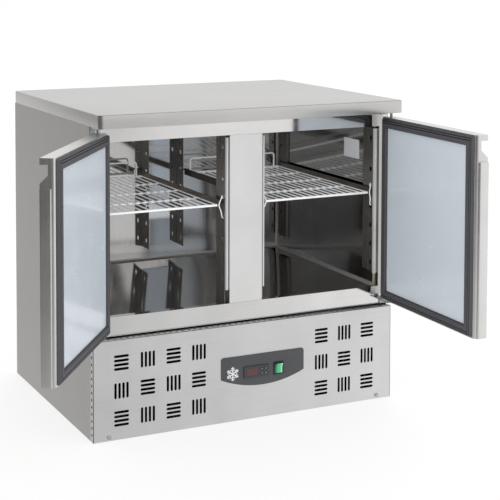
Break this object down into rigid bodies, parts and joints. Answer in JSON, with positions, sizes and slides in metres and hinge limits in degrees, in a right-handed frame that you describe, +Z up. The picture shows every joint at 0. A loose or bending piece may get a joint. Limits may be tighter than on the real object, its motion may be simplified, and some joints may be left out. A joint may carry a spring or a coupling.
{
  "type": "undercounter refrigerator",
  "caption": "Free-standing refrigerated counter with side-hung grip-edge doors standing open, wire shelves on slotted posts, solid worktop, slotted grille panel and digital controls below.",
  "frame": {"origin": "the base pan's underside, midway between the two sides and midway between the worktop's front and back edges", "axes": "+X to the right as seen from the front, +Y towards the back, +Z up through the worktop; the doors are on the -Y side"},
  "size_m": [1.158, 1.0941, 0.85],
  "materials": {
    "worktop_steel": "satin",
    "panel_steel": "satin",
    "liner_steel": "polished",
    "upright_steel": "satin",
    "galvanised_sheet": "matte",
    "zinc_hardware": "satin",
    "rigid_foam": "matte",
    "pale_strip": "satin",
    "gasket_grey": "matte",
    "door_lining": "gloss",
    "white_coated_wire": "gloss",
    "charcoal_plastic": "satin",
    "black_plastic": "satin",
    "red_window": "gloss",
    "key_grey": "matte",
    "green_lens": "gloss",
    "black_enamel": "gloss",
    "bare_aluminium": "satin",
    "copper_tube": "satin"
  },
  "bodies": {
    "cabinet": {"worktop": "worktop_steel", "side_panel_left": "panel_steel", "side_panel_right": "panel_steel", "front_frame": "panel_steel", "centre_mullion": "panel_steel", "front_grille_panel": "panel_steel", "back_panel": "galvanised_sheet", "base_pan": "galvanised_sheet", "liner": "liner_steel", "insulation": "rigid_foam", "breaker_strip_left_jamb": "pale_strip", "breaker_strip_left_mullion": "pale_strip", "breaker_strip_right_jamb": "pale_strip", "breaker_strip_right_mullion": "pale_strip", "centre_upright_front": "upright_steel", "centre_upright_rear": "upright_steel", "wall_upright_left_front": "upright_steel", "wall_upright_left_rear": "upright_steel", "wall_upright_right_front": "upright_steel", "wall_upright_right_rear": "upright_steel", "shelf_runner_left_outer": "upright_steel", "shelf_runner_left_inner": "upright_steel", "shelf_runner_right_outer": "upright_steel", "shelf_runner_right_inner": "upright_steel", "shelf_clip_left_outer": "white_coated_wire", "shelf_clip_left_inner": "white_coated_wire", "shelf_clip_right_outer": "white_coated_wire", "shelf_clip_right_inner": "white_coated_wire", "panel_screw_left": "zinc_hardware", "panel_screw_right": "zinc_hardware", "control_fascia": "charcoal_plastic", "controller_body": "black_plastic", "display_window": "red_window", "switch_housing": "black_plastic", "hinge_bracket_left_top": "zinc_hardware", "hinge_bracket_left_bottom": "zinc_hardware", "hinge_bracket_right_top": "zinc_hardware", "hinge_bracket_right_bottom": "zinc_hardware", "evaporator_plate": "bare_aluminium", "suction_pipe": "copper_tube", "compressor": "black_enamel", "condenser": "black_enamel", "condenser_fan_motor": "zinc_hardware"},
    "door_left": {"door_left_skin": "panel_steel", "door_left_foam": "rigid_foam", "door_left_inner_panel": "door_lining", "door_left_gasket": "gasket_grey"},
    "door_right": {"door_right_skin": "panel_steel", "door_right_foam": "rigid_foam", "door_right_inner_panel": "door_lining", "door_right_gasket": "gasket_grey"},
    "sliding_shelf_left": {"shelf_left": "white_coated_wire"},
    "sliding_shelf_right": {"shelf_right": "white_coated_wire"},
    "rocker": {"switch_rocker": "green_lens"},
    "key_upper_left": {"controller_key_upper_left": "key_grey"},
    "key_upper_right": {"controller_key_upper_right": "key_grey"},
    "key_lower_left": {"controller_key_lower_left": "key_grey"},
    "key_lower_right": {"controller_key_lower_right": "key_grey"},
    "condenser_fan": {"condenser_fan_blade": "bare_aluminium"}
  },
  "joints": [
    {"name": "door_left_hinge", "type": "hinge", "parent": "cabinet", "child": "door_left", "pos_m": [-0.438, -0.309, 0.5435], "axis": [0, 0, -1], "range_deg": [-126.8, 33.2]},
    {"name": "door_right_hinge", "type": "hinge", "parent": "cabinet", "child": "door_right", "pos_m": [0.438, -0.309, 0.5435], "axis": [0, 0, 1], "range_deg": [-88.7, 71.3]},
    {"name": "shelf_left_slide", "type": "slide", "parent": "cabinet", "child": "sliding_shelf_left", "axis": [0, -1, 0], "range_m": [0, 0.25]},
    {"name": "shelf_right_slide", "type": "slide", "parent": "cabinet", "child": "sliding_shelf_right", "axis": [0, -1, 0], "range_m": [0, 0.25]},
    {"name": "power_rocker", "type": "hinge", "parent": "cabinet", "child": "rocker", "pos_m": [0.088, -0.2979, 0.13], "axis": [-1, 0, 0], "range_deg": [0, 16]},
    {"name": "key_upper_left_press", "type": "slide", "parent": "cabinet", "child": "key_upper_left", "axis": [0, 1, 0], "range_m": [0, 0.0006]},
    {"name": "key_upper_right_press", "type": "slide", "parent": "cabinet", "child": "key_upper_right", "axis": [0, 1, 0], "range_m": [0, 0.0006]},
    {"name": "key_lower_left_press", "type": "slide", "parent": "cabinet", "child": "key_lower_left", "axis": [0, 1, 0], "range_m": [0, 0.0006]},
    {"name": "key_lower_right_press", "type": "slide", "parent": "cabinet", "child": "key_lower_right", "axis": [0, 1, 0], "range_m": [0, 0.0006]},
    {"name": "condenser_fan_spin", "type": "hinge", "parent": "cabinet", "child": "condenser_fan", "pos_m": [0.297, -0.166, 0.125], "axis": [0, 1, 0], "continuous": true}
  ]
}
